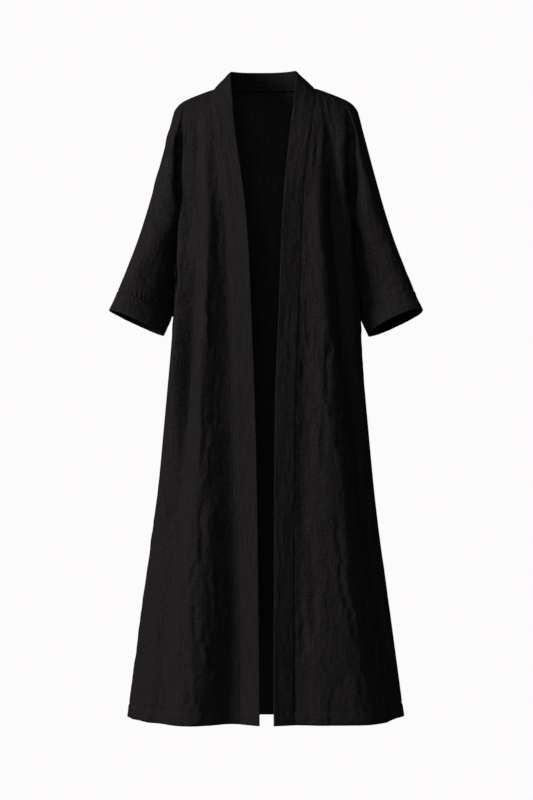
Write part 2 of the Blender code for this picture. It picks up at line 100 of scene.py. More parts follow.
# Creases placed one by one, in millimetres and seen square on: a line from its top to its foot.
# A positive depth is a trough between two low ridges, a negative one a ridge between troughs
Crease = namedtuple("Crease", "top_x top_z foot_x foot_z width depth")
CREASES = {
    "front_right": (
        (-188, -40, -186.2, -430, 5.5, 21.5), (-180, -60, -183, -240, 3.4, 5),
        (-204, -85, -201.5, -330, 7, -6.5), (-144, -51, -144, -160, 6, 2.2),
        (-111, -45, -106, -170, 3.5, 1.6), (-206, -170, -224, -470, 20, -9.5),
        (-127, -330, -127, -470, 4, 3), (-104, -213, -100, -420, 4, 2.6), (-160, -244, -169, -453, 6, 4.5),
        (-170, -400, -174, -570, 4.5, 4.2), (-123, -420, -120, -560, 4.5, -3.4),
        (-128, -860, -131, -1020, 5, 2.2), (-128, -985, -174, -1075, 5, 3), (-108, -990, -108, -1161, 4, -3),
        (-170, -1050, -168, -1190, 4, 2.4), (-150, -1070, -138, -1190, 4, 2.4),
        (-109, -1205, -111, -1262, 4, -2.6), (-158, -1215, -154, -1310, 4, 2.2),
        (-125, -1165, -123, -1225, 4.5, -3.2), (-196, -828, -208, -994, 7, 3.2),
        (-183, -1161, -192, -1265, 6, -2.8), (-221, -1077, -234, -1265, 8, 3),
        (-288, -415, -263, -436, 5, 1.5), (-263, -386, -242, -432, 5, 1.4), (-225, -438, -208, -465, 5, 3),
        (-217, -424, -208, -453, 5, 2),
    ),
    "front_left": (
        (176.2, -45, 190, -430, 6, 23), (158, -70, 164, -240, 10, -3.5), (205.5, -200, 222, -455, 20, -8),
        (129, -85, 127, -172, 5, 2.4), (106.5, -100, 105.5, -180, 4, 1.8), (88, -99, 83, -195, 5, 2),
        (144, -895, 161, -1005, 5.5, 3.2), (161, -986, 154, -1052, 5, 2.8),
        (153, -1030, 176, -1112, 5.5, 3.2), (174, -1090, 190, -1175, 5, 3), (200, -1234, 198, -1286, 5, 1.8),
        (246, -1227, 248, -1286, 5, 1.8), (104, -703, 111, -807, 5.5, -2.8), (125, -515, 133, -661, 5.5, 3),
        (96, -994, 104, -1161, 7, 2.8), (75, -1077, 77, -1202, 5.5, 2.6), (221, -911, 234, -1057, 6.5, 2.8),
        (165, -328, 173, -494, 7, 1.8), (221, -438, 208, -465, 5, 3), (279, -415, 254, -438, 5, 1.5),
        (269, -374, 246, -422, 5, 1.4), (234, -328, 208, -353, 6, 1.4),
    ),
    "back_left": (
        (158, -60, 150, -230, 8, 2.2), (128, -50, 120, -190, 7, 1.8), (60, -120, 56, -330, 8, 1.4),
        (95, -480, 104, -640, 7, 1.8), (150, -700, 163, -860, 7, -1.6), (70, -880, 82, -960, 6, 2.4),
        (82, -960, 66, -1030, 6, 2.6), (190, -1020, 205, -1180, 8, 1.7), (120, -1130, 124, -1260, 6, -1.7),
        (226, -430, 209, -462, 5, 2.4), (276, -392, 250, -428, 5, 1.5),
    ),
    "back_right": (
        (-160, -58, -154, -215, 8, 2), (-118, -50, -112, -205, 7, 1.8), (-46, -150, -50, -360, 8, 1.4),
        (-110, -430, -121, -590, 7, 1.8), (-66, -720, -74, -890, 6, -1.6), (-140, -900, -128, -985, 6, 2.5),
        (-128, -985, -149, -1060, 6, 2.7), (-205, -980, -220, -1130, 8, 1.6),
        (-90, -1140, -94, -1270, 6, -1.7), (-222, -434, -208, -464, 5, 2.4),
        (-270, -398, -246, -430, 5, 1.5),
    ),
    "band_left": (
        (30, -170, 58, -182, 6, 0.9), (22, -620, 52, -628, 7, 0.8),
    ),
    "band_right": (
        (-50, -205, -82, -196, 6, 0.9), (-22, -780, -56, -772, 7, 0.8),
    ),
}

# A crease's sway in widths, its waves along the line and their shift from crease to crease,
# how bluntly it ends, and the ridges beside it: share of its depth, most height, and place in widths
CREASE_SWAY = 0.7
CREASE_WAVES = (11.0, 5.0)
CREASE_SHIFT = 40.0
CREASE_END = 0.7
RIDGE_SHARE = 0.38
LOW_RIDGE = 0.0012
RIDGE_PLACE = 2.2

# Broad soft folds in millimetres, as points down the floor of each fold, seen square on. A point holds
# its place across and up, the half widths of the slopes on its -X and +X sides, and the depth, which is
# negative for a ridge
FOLDS = {
    "front_right": (
        ((-90, -170, 8, 50, 3), (-83, -307, 14, 70, 13), (-76, -453, 18, 90, 18), (-65, -703, 24, 90, 22),
         (-60, -953, 27, 90, 23), (-67, -1161, 29, 80, 23), (-94, -1369, 29, 60, 22),
         (-116, -1550, 29, 60, 19)),
        ((-149, -30, 7, 13, 7), (-154, -330, 9, 14, 14), (-166, -600, 10, 15, 20), (-182, -800, 13, 17, 15),
         (-215, -1160, 19, 20, 13), (-244, -1550, 21, 22, 11)),
        ((-168, -300, 8, 8, -6), (-180, -540, 9, 9, -14), (-186, -660, 10, 9, -14), (-198, -820, 12, 11, -8),
         (-206, -940, 12, 12, -2)),
    ),
    "front_left": (
        ((137, -155, 10, 7, 4), (141, -255, 14, 10, 9), (160, -390, 16, 12, 10), (178, -560, 18, 14, 9),
         (204, -770, 20, 16, 7), (240, -1080, 22, 18, 4)),
    ),
    "back_left": (
        ((100, -220, 12, 14, 3), (104, -560, 18, 16, 9), (118, -960, 22, 18, 12), (132, -1550, 24, 22, 12)),
        ((170, -380, 12, 14, 3), (192, -800, 18, 20, 8), (228, -1550, 22, 22, 8)),
    ),
    "back_right": (
        ((-76, -300, 14, 12, 3), (-84, -660, 16, 18, 9), (-96, -1050, 18, 22, 12),
         (-104, -1550, 22, 24, 12)),
        ((-164, -240, 14, 12, 3), (-180, -620, 20, 18, 9), (-222, -1550, 22, 22, 7)),
    ),
}
FOLD_FADE = 0.10
FOLD_RIDGE_SHARE = 0.42
FOLD_EDGE_HOLD = 0.030

# Half sizes of the body's rounded section, which say which way a fold is pressed in
FOLD_SECTION = (0.25, 0.14)

# Where the sleeve rests against the body below each underarm: across and up
UNDERARMS = ((-0.1832, -0.298), (-0.1880, -0.352), (0.1868, -0.312))
UNDERARM_WIDTH = 0.010
UNDERARM_HEIGHT = 0.050
UNDERARM_PINCH = 1.3

# Fine crinkles all over the cloth: cells across and along the cloth, depth, and whether they fold sharply
Crinkle = namedtuple("Crinkle", "across along depth sharp")
CRINKLES = (
    Crinkle(0.034, 0.170, 0.0026, False),
    Crinkle(0.017, 0.070, 0.0025, True),
    Crinkle(0.011, 0.032, 0.0017, True),
    Crinkle(0.013, 0.017, 0.0011, False),
)
SHARP_LEVEL = 0.55
SHARP_SLOPE = 1.6

# Seeded unevenness over the flat cloth: mean, change, and cells across and along
Uneven = namedtuple("Uneven", "mean change across along")
CRINKLE_SWAY = Uneven(0.0, 0.007, 0.06, 0.045)
CRINKLE_SIZE = Uneven(0.65, 0.5, 0.09, 0.16)
PUCKER_SHIFT = Uneven(0.0, 0.35, 0.021, 0.05)
PUCKER_SIZE = Uneven(0.7, 0.5, 0.015, 0.05)
HEM_RIPPLE = Uneven(0.0, 0.0005, 0.0065, 0.03)
SEAM_RIPPLE = Uneven(0.0, 0.0006, 0.011, 0.05)
BAND_RIPPLE = Uneven(0.0, 1.0, 0.010, 0.05)

# Widths of the hem's dent, doubled step and ripples, and the step's share of the dent
HEM_DENT_WIDTH = 0.0030
HEM_STEP_WIDTH = 0.004
HEM_RIPPLE_WIDTH = 0.012
HEM_STEP_SHARE = 0.5

# How far edges hold the crinkles and the puckers flat
PANEL_EDGE_HOLD = 0.014
PUCKER_EDGE_HOLD = 0.003

# Bands and cuffs: how they slope to seam and edge, and how these hold their crinkles
BAND_SEAM_SLOPE = 0.005
BAND_EDGE_SLOPE = 0.004
BAND_SEAM_HOLD = 0.006
BAND_EDGE_HOLD = 0.008
BAND_EDGE_SHARE = 0.25
CUFF_PUCKER_SHARE = 0.55

# Ripples beside a seam: place, width on a panel and on a band, height on a band and what the neck adds
RIPPLE_PLACE = 0.006
PANEL_RIPPLE_WIDTH = 0.008
BAND_RIPPLE_WIDTH = 0.006
BAND_RIPPLE_HEIGHT = 0.0005
NECK_RIPPLE_HEIGHT = 0.0012

# The chest is calmer than the skirt: its share of the crinkles, where they start to grow and over what drop
CHEST_SHARE = 0.5
CHEST_FOOT = -0.12
CHEST_BLEND = 0.42

# Side and shoulder seams hold the cloth taut: the share of the crinkles on them and how far the hold reaches
SEAM_SHARE = 0.2
SEAM_HOLD = 0.060

# How far the bands' join behind the neck keeps them smooth, and how far from it their seam is gathered
NECK_HOLD = 0.060
NECK_GATHER = 0.090

# The left half of the neck stands higher than the right. How far from their join, across and down,
# the two halves are drawn level, and how their curve is flattened there so that they meet without a kink
NECK_STEP = 0.0023
NECK_LEVEL_REACH = 0.050
NECK_LEVEL_DROP = 0.100
NECK_KINK = 0.070
NECK_KINK_REACH = 0.014

# Shares of the crinkles that each kind of piece shows
CRINKLE_SHARES = {"front": 1.0, "back": 0.9, "band": 0.45, "cuff": 0.45}

# Layers of slubs in the linen: cells across and along the cloth, share in its tone and height in its relief
Layer = namedtuple("Layer", "across along tone height")
WARP = Layer(0.0026, 0.060, 0.34, 0.00090)
WEFT = Layer(0.030, 0.0026, 0.12, 0.00030)
GRAIN = Layer(0.0026, 0.0042, 0.54, 0.00110)
RUMPLE = Layer(0.0080, 0.0125, 0.0, 0.00300)
SLUB_DETAIL = 2.0
SLUB_ROUGHNESS = 0.55
TONE_SPREAD = 0.15
SPECULAR = 0.03
SHEEN_ROUGHNESS = 0.5
WEAVE_HEIGHT = 0.00010
STITCH_HEIGHT = 0.00030
STITCH_TONE = 1.2
STITCH_SHARE = 0.68

# How strongly each kind of piece shows its slubs, and where a cuff's stitches run
PANEL_SLUBS = 1.0
BAND_SLUBS = 0.8
CUFF_SLUBS = 0.9
CUFF_STITCH_PLACE = 0.0035

# Studio: places and sizes of the lights, what they are turned to, the camera's step aside, the floor's sides
KEY_PLACE = (-2.90, -1.97, 0.6)
FRONT_PLACE = (-0.32, -4.2, 1.35)
BACK_PLACE = (0.2, 4.3, -0.3)
KEY_SIZE = 1.2
SOFT_SIZE = 1.6
LIGHT_AIM = (0.0, 0.0, -0.62)
CAMERA_SIDE = 0.001
FLOOR_SIDES = 96

# What every colour among the settings shares, and plain white
COLOUR = {"subtype": "COLOR", "size": 3, "min": 0.0, "max": 1.0}
WHITE = (1.0, 1.0, 1.0, 1.0)


class JacketCloth(bpy.types.PropertyGroup):
    """Sizes and colours of the linen."""

    dark: FloatVectorProperty(
        name="Dark threads", description="Colour of the darkest threads", default=(0.0105, 0.0092, 0.0100),
        **COLOUR)
    light: FloatVectorProperty(
        name="Light threads", description="Colour of the palest slubs", default=(0.0330, 0.0290, 0.0310),
        **COLOUR)
    pitch: FloatProperty(
        name="Thread pitch", description="Distance from thread to thread", unit="LENGTH", default=0.00055,
        min=0.0001)
    roughness: FloatProperty(
        name="Roughness", description="Roughness of the matte cloth", subtype="FACTOR", default=0.86,
        min=0.0, max=1.0)
    sheen: FloatProperty(
        name="Sheen", description="Soft sheen of the fibres at grazing angles", subtype="FACTOR",
        default=0.008, min=0.0, max=1.0)
    thickness: FloatProperty(
        name="Cloth thickness", description="Thickness of a single cloth", unit="LENGTH", default=0.0011,
        min=0.0002)
    doubled_thickness: FloatProperty(
        name="Doubled thickness", description="Thickness of a band or a cuff", unit="LENGTH",
        default=0.0022, min=0.0004)
    levels: IntProperty(
        name="Fineness", description="Times that the cloth's mesh is subdivided", default=3, min=1, max=3)


class JacketSewing(bpy.types.PropertyGroup):
    """Sizes of hems, puckers and stitches."""

    hem_height: FloatProperty(
        name="Hem height", description="Height of the hem's stitches above the edge", unit="LENGTH",
        default=0.027)
    hem_dent: FloatProperty(
        name="Hem dent", description="Depth to which the hem's stitches pull the cloth", unit="LENGTH",
        default=0.0013)
    stitch_length: FloatProperty(
        name="Stitch length", description="Length from stitch to stitch", unit="LENGTH", default=0.0076)
    thread_width: FloatProperty(
        name="Thread width", description="Width of the sewing thread", unit="LENGTH", default=0.0015)
    pucker_length: FloatProperty(
        name="Pucker length", description="How far the cuff seam's puckers run up the sleeve",
        unit="LENGTH", default=0.013)
    pucker_spacing: FloatProperty(
        name="Pucker spacing", description="Distance from pucker to pucker along the cuff seam",
        unit="LENGTH", default=0.0086)
    pucker_depth: FloatProperty(
        name="Pucker depth", description="Height of the cuff seam's puckers", unit="LENGTH", default=0.0021)
    band_rise: FloatProperty(
        name="Band rise", description="How far bands and cuffs stand above the cloth beside them",
        unit="LENGTH", default=0.0012)


class JacketStage(bpy.types.PropertyGroup):
    """Studio round the jacket."""

    floor_colour: FloatVectorProperty(
        name="Floor colour", description="Colour of the pale round floor", default=(0.38, 0.37, 0.38),
        **COLOUR)
    floor_height: FloatProperty(
        name="Floor", description="Height of the floor", subtype="DISTANCE", unit="LENGTH", default=-1.62)
    floor_radius: FloatProperty(
        name="Floor radius", description="Radius of the round floor", subtype="DISTANCE", unit="LENGTH",
        default=0.84)
    floor_glow: FloatProperty(
        name="Floor glow", description="How much the floor is lifted towards the pale backdrop",
        default=0.74, min=0.0)
    backdrop: FloatVectorProperty(
        name="Backdrop", description="Colour of the backdrop all round", default=(0.975, 0.957, 0.972),
        **COLOUR)
    sky: FloatProperty(
        name="Surrounding light", description="Strength of the even light from all round", default=0.03,
        min=0.0)
    key_power: FloatProperty(
        name="Key light", description="Power of the large light at the picture's left", unit="POWER",
        default=86.0)
    front_power: FloatProperty(
        name="Front light", description="Power of the soft light over the camera", unit="POWER",
        default=34.0)
    back_power: FloatProperty(
        name="Back light", description="Power of the soft light behind the jacket", unit="POWER",
        default=120.0)
    camera_distance: FloatProperty(
        name="Camera distance", description="Distance of the camera in front of the jacket", unit="LENGTH",
        default=7.0)
    camera_height: FloatProperty(
        name="Camera height", description="Height of the level camera", unit="LENGTH", default=-0.661)
    camera_lens: FloatProperty(
        name="Lens", description="Focal length in millimetres", unit="CAMERA", default=148.2)


def ease(share):
    """Shares from 0 to 1 with soft ends."""
    share = np.clip(share, 0.0, 1.0)
    return share * share * (3.0 - 2.0 * share)


def bell(offset, width):
    """Rounded profile: 1 on its line, falling off over a width."""
    return np.exp(-(offset / width) ** 2)


def cloth_noise(across, along, cell_across, cell_along, seed):
    """Smooth seeded noise between -1 and 1 on the flat cloth."""
    lattice = np.random.default_rng(seed).uniform(-1.0, 1.0, (NOISE_CELLS, NOISE_CELLS))
    column = np.floor(across / cell_across).astype(int)
    row = np.floor(along / cell_along).astype(int)
    column_share = ease(across / cell_across - column)
    row_share = ease(along / cell_along - row)

    def corner(right, up):
        return lattice[(column + right) % NOISE_CELLS, (row + up) % NOISE_CELLS]

    lower = corner(0, 0) * (1.0 - column_share) + corner(1, 0) * column_share
    upper = corner(0, 1) * (1.0 - column_share) + corner(1, 1) * column_share
    return lower * (1.0 - row_share) + upper * row_share


def uneven(across, along, kind, seed):
    """Unevenness of a kind on the flat cloth."""
    return kind.mean + kind.change * cloth_noise(across, along, kind.across, kind.along, seed)


def linked_faces(mesh):
    """Groups of faces that hang together."""
    left = set(mesh.faces)
    groups = []
    while left:
        waiting = [left.pop()]
        group = []
        while waiting:
            face = waiting.pop()
            group.append(face)
            for edge in face.edges:
                for other in edge.link_faces:
                    if other in left:
                        left.remove(other)
                        waiting.append(other)
        groups.append(group)
    return groups


def faces_out(faces, centre):
    """Whether a group of faces looks away from an upright line through a centre."""
    total = 0.0
    for face in faces:
        arm = face.calc_center_median() - centre
        total += face.calc_area() * (face.normal.x * arm.x + face.normal.y * arm.y)
    return total > 0.0


def outer_cloth(node, wall, centre):
    """Open mesh of the outer side of a solid, in four-sided faces where they fit."""
    mesh = bmesh.new()
    mesh.from_mesh(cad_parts[node].data)
    bmesh.ops.remove_doubles(mesh, verts=mesh.verts[:], dist=WELD)
    rim = [face for face in mesh.faces if min(edge.calc_length() for edge in face.edges) < RIM_SHARE * wall]
    bmesh.ops.delete(mesh, geom=rim, context="FACES")
    groups = sorted(linked_faces(mesh), key=len)[-2:]
    kept = [group for group in groups if faces_out(group, centre)]
    if len(kept) != 1:
        raise RuntimeError("the outer side of " + node + " was not found")
    inside = set(mesh.faces) - set(kept[0])
    bmesh.ops.delete(mesh, geom=list(inside), context="FACES")
    bmesh.ops.join_triangles(
        mesh, faces=mesh.faces[:], angle_face_threshold=math.pi, angle_shape_threshold=math.pi)
    mesh.normal_update()
    return mesh


def solved(count, links, steps, weights, pins):
    """Values at points, from the steps wanted along links between them and from pinned values."""
    matrix = np.zeros((count, count))
    wanted = np.zeros(count)
    for (start, end), step, weight in zip(links, steps, weights):
        matrix[start, start] += weight
        matrix[end, end] += weight
        matrix[start, end] -= weight
        matrix[end, start] -= weight
        wanted[start] -= weight * step
        wanted[end] += weight * step
    for point, value in pins.items():
        matrix[point, point] += PIN_WEIGHT
        wanted[point] += PIN_WEIGHT * value
    return np.linalg.solve(matrix, wanted)


def panel_lay(mesh):
    """Flat place of each point of a panel: round the body and up it."""
    mesh.verts.index_update()
    links = []
    rounds = []
    rises = []
    weights = []
    for edge in mesh.edges:
        start, end = edge.verts
        normal = (start.normal + end.normal).normalized()
        level = Vector((-normal.y, normal.x, 0.0))
        weight = max(level.length, LEAST_WEIGHT)
        level.normalize()
        line = end.co - start.co
        links.append((start.index, end.index))
        rounds.append(line.dot(level))
        rises.append(line.dot(normal.cross(level)))
        weights.append(weight)
    count = len(mesh.verts)
    across = solved(count, links, rounds, weights, {0: 0.0})
    along = solved(count, links, rises, weights, {0: 0.0})
    return [(across[vert.index], along[vert.index]) for vert in mesh.verts]


def band_chains(mesh):
    """Seam and free edge of a band, each as a chain of points up from the hem."""
    corners = [vert for vert in mesh.verts if len(vert.link_faces) == 1]
    feet = sorted(sorted(corners, key=lambda vert: vert.co.z)[:2], key=lambda vert: abs(vert.co.x))
    chains = []
    for foot in feet:
        chain = [foot]
        options = [edge for edge in foot.link_edges if edge.is_boundary]
        edge = max(options, key=lambda option: option.other_vert(foot).co.z)
        while True:
            chain.append(edge.other_vert(chain[-1]))
            if chain[-1] in corners:
                break
            edge = [option for option in chain[-1].link_edges if option.is_boundary and option != edge][0]
        chains.append(chain)
    return chains[1], chains[0]


def band_lay(mesh, width):
    """Flat place of each point of a band: across it from its seam, and along it from the hem."""
    mesh.verts.index_update()
    seam, free_edge = band_chains(mesh)
    across_pins = {vert.index: 0.0 for vert in seam}
    across_pins.update({vert.index: width for vert in free_edge})
    along_pins = {}
    for chain in (seam, free_edge):
        run = 0.0
        along_pins[chain[0].index] = run
        for start, end in zip(chain, chain[1:]):
            run += (end.co - start.co).length
            along_pins[end.index] = run
    links = [(edge.verts[0].index, edge.verts[1].index) for edge in mesh.edges]
    still = [0.0] * len(links)
    even = [1.0] * len(links)
    across = solved(len(mesh.verts), links, still, even, across_pins)
    along = solved(len(mesh.verts), links, still, even, along_pins)
    return [(across[vert.index], along[vert.index]) for vert in mesh.verts]


def lay_flat(mesh, places):
    """Store flat places as the cloth's own map."""
    mesh.verts.index_update()
    layer = mesh.loops.layers.uv.new("flat")
    for face in mesh.faces:
        for loop in face.loops:
            loop[layer].uv = places[loop.vert.index]


def lay_cuff_flat(mesh, centre):
    """Store the flat map of a cuff, cut open where its turn starts again."""
    layer = mesh.loops.layers.uv.new("flat")
    radius = sum((vert.co - centre).length for vert in mesh.verts) / len(mesh.verts)
    for face in mesh.faces:
        arms = [loop.vert.co - centre for loop in face.loops]
        turns = [math.atan2(arm.y, arm.x) for arm in arms]
        for loop, arm, turn in zip(face.loops, arms, turns):
            if max(turns) - turn > math.pi:
                turn += FULL_TURN
            loop[layer].uv = (turn * radius, arm.z)


def new_object(name, data):
    """New object in the scene."""
    item = bpy.data.objects.new(name, data)
    bpy.context.scene.collection.objects.link(item)
    return item


def fine_mesh(mesh, name, levels):
    """Smooth, finely divided copy of an open mesh."""
    data = bpy.data.meshes.new(name)
    mesh.to_mesh(data)
    mesh.free()
    rough = new_object(name, data)
    divide = rough.modifiers.new("Fine cloth", "SUBSURF")
    divide.levels = levels
    divide.render_levels = levels
    divide.boundary_smooth = "PRESERVE_CORNERS"
    graph = bpy.context.evaluated_depsgraph_get()
    fine = bpy.data.meshes.new_from_object(rough.evaluated_get(graph))
    bpy.data.objects.remove(rough)
    bpy.data.meshes.remove(data)
    return fine


def outward_step(vert):
    """Unit step from a point on a sheet's edge straight out of the sheet."""
    first, second = [edge.other_vert(vert).co for edge in vert.link_edges if edge.is_boundary]
    line = (second - first).normalized()
    inward = sum((face.calc_center_median() - vert.co for face in vert.link_faces), Vector())
    inward -= line * inward.dot(line)
    return -inward.normalized()


def rows_of(items, name, width, kind=np.float64):
    """One property of many items as rows of an array."""
    values = np.empty(len(items) * width, dtype=kind)
    items.foreach_get(name, values)
    return values.reshape(-1, width)


class Sheet:
    """Finely divided cloth of one piece, with its points as arrays."""

    def __init__(self, data):
        self.data = data
        self.places = rows_of(data.vertices, "co", 3)
        self.normals = rows_of(data.vertex_normals, "vector", 3)
        self.corner_points = rows_of(data.loops, "vertex_index", 1, np.int32).ravel()
        self.flat = np.zeros((len(data.vertices), 2))
        self.flat[self.corner_points] = rows_of(data.uv_layers["flat"].uv, "vector", 2)
        self.hem_points, self.seam_points = self.find_edges()

    def find_edges(self):
        """Numbers of the points on the hem and on the other edges, which are let out so that seams close."""
        mesh = bmesh.new()
        mesh.from_mesh(self.data)
        hem = []
        seams = []
        for vert in mesh.verts:
            if vert.is_boundary:
                step = outward_step(vert)
                self.places[vert.index] += np.array(step * SEAM_LAP)
                downward = step.z < HEM_FALL and vert.co.z < HEM_BELOW
                (hem if downward else seams).append(vert.index)
        mesh.free()
        return np.array(hem, dtype=int), np.array(seams, dtype=int)

    def distance_to(self, chosen):
        """Distance of every point from the chosen edge points."""
        if not len(chosen):
            return np.full(len(self.places), FAR_AWAY)
        tree = KDTree(len(chosen))
        for index, point in enumerate(self.places[chosen]):
            tree.insert(point, index)
        tree.balance()
        return np.array([tree.find(point)[2] for point in self.places])

    def seam_where(self, test):
        """Points of the edges other than the hem whose place passes a test."""
        return self.seam_points[test(self.places[self.seam_points])]

    def move(self, rise):
        """Move every point along its normal."""
        self.data.vertices.foreach_set("co", (self.places + self.normals * rise[:, None]).ravel())
        self.data.update()

    def fold(self, panel, held):
        """Press a panel's broad folds into the sheet, by a share at every point."""
        outward = self.places[:, :2] / np.square(FOLD_SECTION)
        outward /= np.linalg.norm(outward, axis=1)[:, None]
        depth = sum(fold_depth(self.places, points) for points in FOLDS[panel])
        self.places[:, :2] -= outward * (held * depth)[:, None]

    def level_neck(self, node):
        """Draw the two halves level, and smoothly into each other, where they meet behind the neck."""
        side = 1.0 if node.endswith("left") else -1.0
        across = self.places[:, 0]
        near = ease(1.0 + self.places[:, 2] / NECK_LEVEL_DROP)
        self.places[:, 2] -= 0.5 * side * NECK_STEP * near * bell(across, NECK_LEVEL_REACH)
        self.places[:, 1] += NECK_KINK * np.abs(across) * near * bell(across, NECK_KINK_REACH)

    def store_map(self, name, across, along):
        """Store two values of every point as a map of the cloth."""
        layer = self.data.uv_layers.new(name=name)
        values = np.column_stack((across, along))[self.corner_points]
        layer.uv.foreach_set("vector", values.ravel())


def on_cuff_seam(places):
    """Whether places on a panel's edge lie in the cuff seam."""
    slope = (CUFF_SEAM_OUTER[1] - CUFF_SEAM_INNER[1]) / (CUFF_SEAM_OUTER[0] - CUFF_SEAM_INNER[0])
    reach = np.abs(places[:, 0])
    height = places[:, 2] - CUFF_SEAM_INNER[1] - (reach - CUFF_SEAM_INNER[0]) * slope
    return (reach > CUFF_SEAM_INNER[0] - CUFF_SEAM_SLACK) & (np.abs(height) < CUFF_SEAM_SPAN)


def on_band_seam(places):
    """Whether places on a front's edge lie in the band seam."""
    return np.abs(places[:, 0]) < BAND_SEAM_REACH


def on_neck_seam(places):
    """Whether places on a back's edge lie in the neck seam."""
    return (np.abs(places[:, 0]) < NECK_SEAM_REACH) & (places[:, 2] > NECK_SEAM_ABOVE)


def crease_rise(places, crease):
    """Rise of one crease at every place."""
    line = np.array((crease.foot_x - crease.top_x, crease.foot_z - crease.top_z))
    length = np.linalg.norm(line)
    line /= length
    from_top = places[:, (0, 2)] - np.array((crease.top_x, crease.top_z))
    run = from_top @ line / length
    fast, slow = CREASE_WAVES
    wave = np.sin(fast * run + CREASE_SHIFT * crease.top_x) * np.sin(slow * run)
    offset = from_top @ np.array((line[1], -line[0])) + CREASE_SWAY * crease.width * wave
    fade = np.sin(np.pi * np.clip(run, 0.0, 1.0)) ** CREASE_END
    beside = np.clip(RIDGE_SHARE * crease.depth, -LOW_RIDGE, LOW_RIDGE)
    ridges = beside * bell(np.abs(offset) - RIDGE_PLACE * crease.width, crease.width)
    return fade * (ridges - crease.depth * bell(offset, crease.width))


def add_creases(rise, places, node, share):
    """Add a piece's own creases to its rise, by a share at every point."""
    for row in np.array(CREASES[node]) / MILLIMETRES:
        rise += crease_rise(places, Crease(*row)) * share


def fold_depth(places, points):
    """Depth of one broad fold at every place."""
    across, heights, left, right, depths = np.array(points)[::-1].T / MILLIMETRES
    degree = 3 if len(points) > 4 else 2
    curve = np.polyfit(heights, across, degree)
    offset = places[:, 0] - np.polyval(curve, places[:, 2])
    left_width = np.interp(places[:, 2], heights, left)
    right_width = np.interp(places[:, 2], heights, right)
    share = np.abs(offset) / np.where(offset < 0.0, left_width, right_width)
    fade = ease((heights[-1] - places[:, 2]) / FOLD_FADE) * ease((places[:, 2] - heights[0]) / FOLD_FADE)
    depth = np.interp(places[:, 2], heights, depths) * fade
    return depth * (bell(share, 1.0) - FOLD_RIDGE_SHARE * bell(share - RIDGE_PLACE, 1.0))


def pinched(places):
    """Places with the slits under the arms drawn shut."""
    shut = places.copy()
    for across, height in UNDERARMS:
        offset = places[:, 0] - across
        share = bell(offset, UNDERARM_WIDTH) * bell(places[:, 2] - height, UNDERARM_HEIGHT)
        shut[:, 0] -= UNDERARM_PINCH * share * offset
    return shut


def crinkle_rise(flat, seed):
    """Rise of the fine crinkles over the flat cloth."""
    across = flat[:, 0] + uneven(flat[:, 0], flat[:, 1], CRINKLE_SWAY, seed)
    total = np.zeros(len(flat))
    for number, crinkle in enumerate(CRINKLES):
        value = cloth_noise(across, flat[:, 1], crinkle.across, crinkle.along, seed + 7 * number + 1)
        if crinkle.sharp:
            value = SHARP_LEVEL - SHARP_SLOPE * np.abs(value)
        total += crinkle.depth * value
    return total * uneven(flat[:, 0], flat[:, 1], CRINKLE_SIZE, seed + 90)


def pucker_rise(run, distance, sewing, seed):
    """Rise of the short puckers beside a gathered seam."""
    shift = uneven(run, distance, PUCKER_SHIFT, seed)
    wave = np.sin(FULL_TURN * (run / sewing.pucker_spacing + shift))
    size = uneven(run, distance, PUCKER_SIZE, seed + 3)
    return sewing.pucker_depth * size * wave * bell(distance, sewing.pucker_length)


def hem_rise(run, distance, sewing, seed):
    """Rise of the doubled hem, its line of stitches and the small ripples beside them."""
    above = distance - sewing.hem_height
    stitched = bell(above, HEM_DENT_WIDTH)
    doubled = HEM_STEP_SHARE * sewing.hem_dent * ease(0.5 - above / HEM_STEP_WIDTH)
    ripple = uneven(run, distance, HEM_RIPPLE, seed) * bell(above, HEM_RIPPLE_WIDTH)
    return doubled - sewing.hem_dent * stitched + ripple


def panel_rise(sheet, node, taut, sewing, seed):
    """Rise of everything on a front or a back, given the distance from the seams that hold it taut."""
    edge = sheet.distance_to(sheet.seam_points)
    hem = sheet.distance_to(sheet.hem_points)
    cuff = sheet.distance_to(sheet.seam_where(on_cuff_seam))
    run = sheet.flat[:, 0]
    kind = node.split("_")[0]
    loose = ease(edge / PANEL_EDGE_HOLD)
    calm = CHEST_SHARE + (1.0 - CHEST_SHARE) * ease((CHEST_FOOT - sheet.places[:, 2]) / CHEST_BLEND)
    calm *= SEAM_SHARE + (1.0 - SEAM_SHARE) * ease(taut / SEAM_HOLD)
    rise = CRINKLE_SHARES[kind] * crinkle_rise(sheet.flat, seed) * loose * calm
    add_creases(rise, sheet.places, node, loose)
    rise += hem_rise(run, hem, sewing, seed + 11)
    rise += pucker_rise(run, cuff, sewing, seed + 12) * ease(edge / PUCKER_EDGE_HOLD)
    sewn_test = on_band_seam if kind == "front" else on_neck_seam
    sewn = sheet.distance_to(sheet.seam_where(sewn_test))
    sewn_run = sheet.flat[:, 1] if kind == "front" else run
    rise += uneven(sewn_run, sewn, SEAM_RIPPLE, seed + 13) * bell(sewn - RIPPLE_PLACE, PANEL_RIPPLE_WIDTH)
    sheet.store_map("sewing", run, hem)
    return rise


